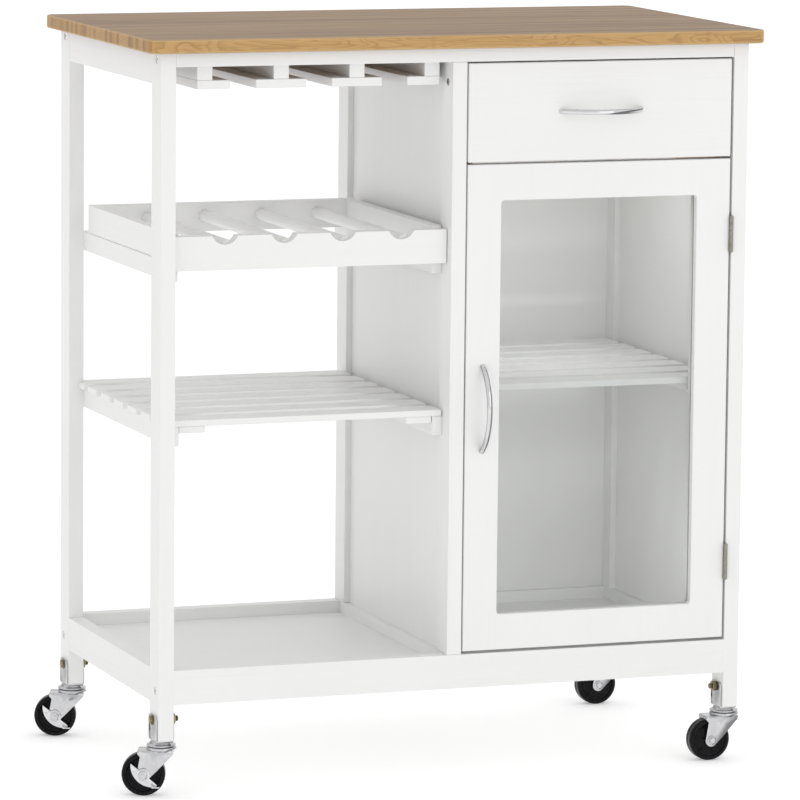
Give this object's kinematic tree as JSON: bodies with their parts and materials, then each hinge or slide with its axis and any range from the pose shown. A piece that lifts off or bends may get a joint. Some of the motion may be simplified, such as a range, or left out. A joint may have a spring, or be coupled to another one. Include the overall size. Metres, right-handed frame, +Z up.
{
  "type": "kitchen island cart",
  "caption": "Rolling kitchen island cart with a bamboo worktop, hanging rails for stemware, a bottle tray, a slatted shelf, and a drawer over a glazed cupboard.",
  "frame": {"origin": "middle of the footprint's bounding box, on the floor under the wheels", "axes": "+X towards the cabinet's side (the right as seen from the front), -Y is the front, +Z up"},
  "size_m": [0.6874, 0.392, 0.776],
  "materials": {
    "bamboo": "dark oiled bamboo, satin",
    "white_wood": "white paint over pine, satin",
    "white_panel": "white painted board, satin",
    "drawer_wood": "clear lacquered pine",
    "glass": "clear float glass",
    "chrome": "polished",
    "zinc": "bright zinc plated",
    "brass": "yellow zinc plated, satin",
    "nickel": "nickel plated",
    "wheel_plastic": "moulded black nylon, satin",
    "catch_plastic": "moulded plastic, matt"
  },
  "bodies": {
    "cart": {"worktop": "bamboo", "left_front_leg": "white_wood", "left_back_leg": "white_wood", "left_top_rail": "white_wood", "left_bottom_rail": "white_wood", "mid_front_post": "white_wood", "mid_back_post": "white_wood", "mid_top_rail": "white_wood", "mid_bottom_rail": "white_wood", "mid_panel": "white_panel", "right_front_leg": "white_wood", "right_back_leg": "white_wood", "right_top_rail": "white_wood", "right_bottom_rail": "white_wood", "right_panel": "white_panel", "front_top_rail": "white_wood", "front_bottom_rail": "white_wood", "back_top_rail": "white_wood", "back_bottom_rail": "white_wood", "back_panel": "white_panel", "floor_boards": "white_panel", "stemware_rails": "white_wood", "tray_front_board": "white_wood", "tray_back_board": "white_wood", "tray_side_boards": "white_wood", "tray_dowels": "white_wood", "shelf_cleats": "white_wood", "open_shelf_slats": "white_wood", "open_shelf_battens": "white_wood", "cabinet_shelf_slats": "white_wood", "cabinet_shelf_battens": "white_wood", "drawer_runners": "drawer_wood", "frame_hinge_leaves": "nickel", "door_catch": "catch_plastic", "connector_bolts": "zinc", "caster_brackets": "chrome", "caster_bolts": "brass"},
    "drawer": {"drawer_front": "white_wood", "drawer_sides": "drawer_wood", "drawer_back": "drawer_wood", "drawer_bottom": "drawer_wood", "drawer_handle": "chrome"},
    "door": {"door_stiles": "white_wood", "door_rails": "white_wood", "door_glass": "glass", "door_beads": "white_wood", "door_handle": "chrome", "door_hinge_leaves": "nickel", "door_strike": "zinc"},
    "front_left_fork": {"front_left_fork": "chrome"},
    "front_left_wheel": {"front_left_wheel": "wheel_plastic"},
    "back_left_fork": {"back_left_fork": "chrome"},
    "back_left_wheel": {"back_left_wheel": "wheel_plastic"},
    "front_right_fork": {"front_right_fork": "chrome"},
    "front_right_wheel": {"front_right_wheel": "wheel_plastic"},
    "back_right_fork": {"back_right_fork": "chrome"},
    "back_right_wheel": {"back_right_wheel": "wheel_plastic"},
    "front_left_brake": {"front_left_brake": "chrome"},
    "back_left_brake": {"back_left_brake": "chrome"}
  },
  "joints": [
    {"name": "drawer_slide", "type": "slide", "parent": "cart", "child": "drawer", "axis": [0, -1, 0], "range_m": [0, 0.26]},
    {"name": "door_hinge", "type": "hinge", "parent": "cart", "child": "door", "pos_m": [0.31202, -0.1733, 0.388], "axis": [0, 0, 1], "range_deg": [0, 170]},
    {"name": "front_left_swivel", "type": "hinge", "parent": "cart", "child": "front_left_fork", "pos_m": [-0.30378, -0.1545, 0.05], "axis": [0, 0, 1], "continuous": true},
    {"name": "back_left_swivel", "type": "hinge", "parent": "cart", "child": "back_left_fork", "pos_m": [-0.30378, 0.1665, 0.05], "axis": [0, 0, 1], "continuous": true},
    {"name": "front_right_swivel", "type": "hinge", "parent": "cart", "child": "front_right_fork", "pos_m": [0.32122, -0.1545, 0.05], "axis": [0, 0, 1], "continuous": true},
    {"name": "back_right_swivel", "type": "hinge", "parent": "cart", "child": "back_right_fork", "pos_m": [0.32122, 0.1665, 0.05], "axis": [0, 0, 1], "continuous": true},
    {"name": "front_left_roll", "type": "hinge", "parent": "front_left_fork", "child": "front_left_wheel", "pos_m": [-0.32069, -0.14834, 0.0225], "axis": [0.342, 0.9397, 0], "continuous": true},
    {"name": "back_left_roll", "type": "hinge", "parent": "back_left_fork", "child": "back_left_wheel", "pos_m": [-0.32069, 0.17266, 0.0225], "axis": [0.342, 0.9397, 0], "continuous": true},
    {"name": "front_right_roll", "type": "hinge", "parent": "front_right_fork", "child": "front_right_wheel", "pos_m": [0.30322, -0.1545, 0.0225], "axis": [0, 1, 0], "continuous": true},
    {"name": "back_right_roll", "type": "hinge", "parent": "back_right_fork", "child": "back_right_wheel", "pos_m": [0.30322, 0.1665, 0.0225], "axis": [0, 1, 0], "continuous": true},
    {"name": "front_left_brake_lever", "type": "hinge", "parent": "front_left_fork", "child": "front_left_brake", "pos_m": [-0.32497, -0.16009, 0.0225], "axis": [0.342, 0.9397, 0], "range_deg": [0, 20]},
    {"name": "back_left_brake_lever", "type": "hinge", "parent": "back_left_fork", "child": "back_left_brake", "pos_m": [-0.32497, 0.16091, 0.0225], "axis": [0.342, 0.9397, 0], "range_deg": [0, 20]}
  ]
}
